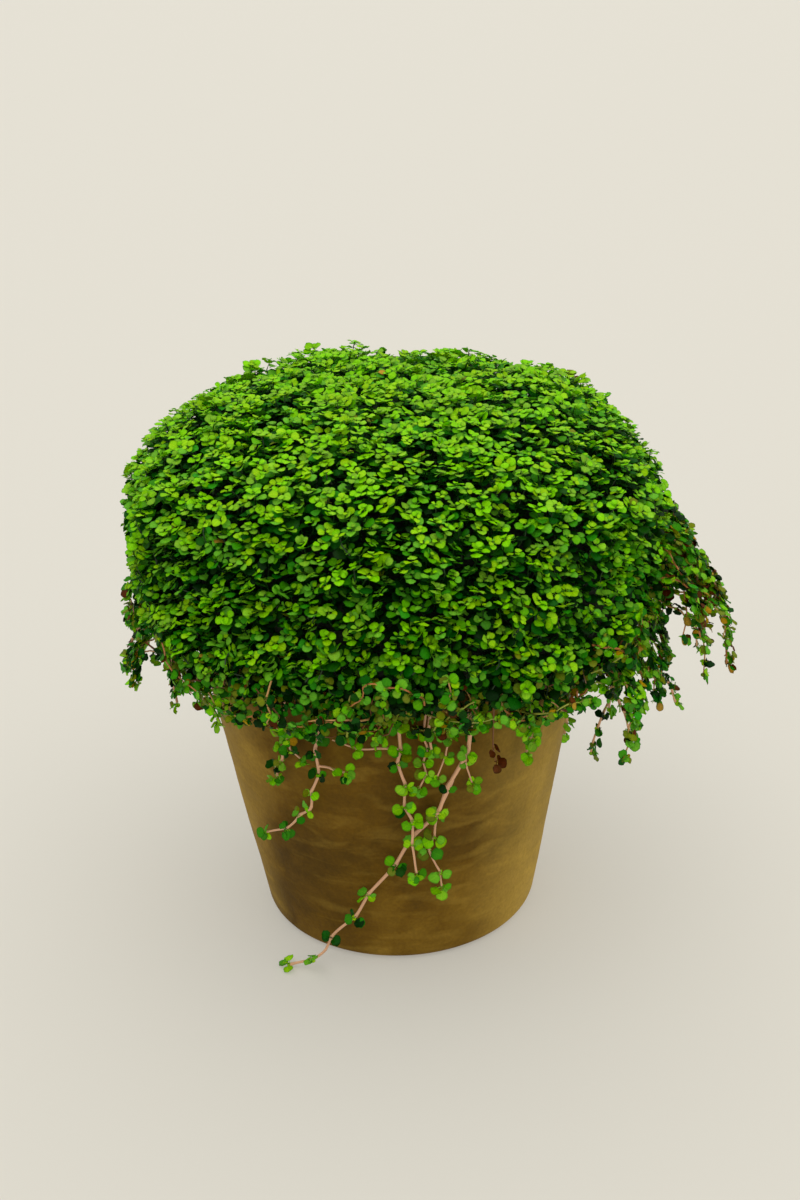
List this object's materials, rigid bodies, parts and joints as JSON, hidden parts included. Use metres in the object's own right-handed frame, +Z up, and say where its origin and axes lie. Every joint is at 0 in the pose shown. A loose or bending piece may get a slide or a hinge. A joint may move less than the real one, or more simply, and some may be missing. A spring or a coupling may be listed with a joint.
{
  "type": "potted baby tears plant",
  "caption": "Round-leaved creeping baby tears grown into a dense cushion over a tapered aged clay pot, with leafy stems trailing down its wall.",
  "frame": {"origin": "centre of the pot's foot, on the surface it stands on", "axes": "+Z up along the pot's axis; -Y is the plant's front, where the longest stems trail"},
  "size_m": [0.213, 0.1876, 0.1963],
  "materials": {
    "aged_clay": "weathered olive-brown fired clay, matt, with paler mineral bloom and rubbed edges",
    "potting_mix": "moist dark peat and bark crumbs, fully matt",
    "foliage": "small fleshy round leaves, fresh green, softly glossy and slightly translucent",
    "stem": "thin pinkish tan creeping stems, smooth, slightly waxy",
    "dry_leaf": "dried brown leaves, matt"
  },
  "bodies": {
    "root": {"clay_pot": "aged_clay", "potting_mix": "potting_mix", "leaf_cushion": "foliage", "back_left_trailer": "foliage", "back_long_trailer": "foliage", "back_right_trailer": "foliage", "back_short_trailer": "foliage", "front_curling_trailer": "foliage", "front_dry_trailer": "dry_leaf", "front_left_trailer": "foliage", "front_long_trailer": "foliage", "front_middle_trailer": "foliage", "front_right_trailer": "foliage", "front_short_trailer": "foliage", "left_hanging_trailer": "foliage", "left_high_spray": "foliage", "left_wall_trailer": "foliage", "right_hanging_trailer": "foliage", "right_high_spray": "foliage", "right_low_spray": "foliage", "right_wall_trailer": "foliage"}
  },
  "joints": []
}
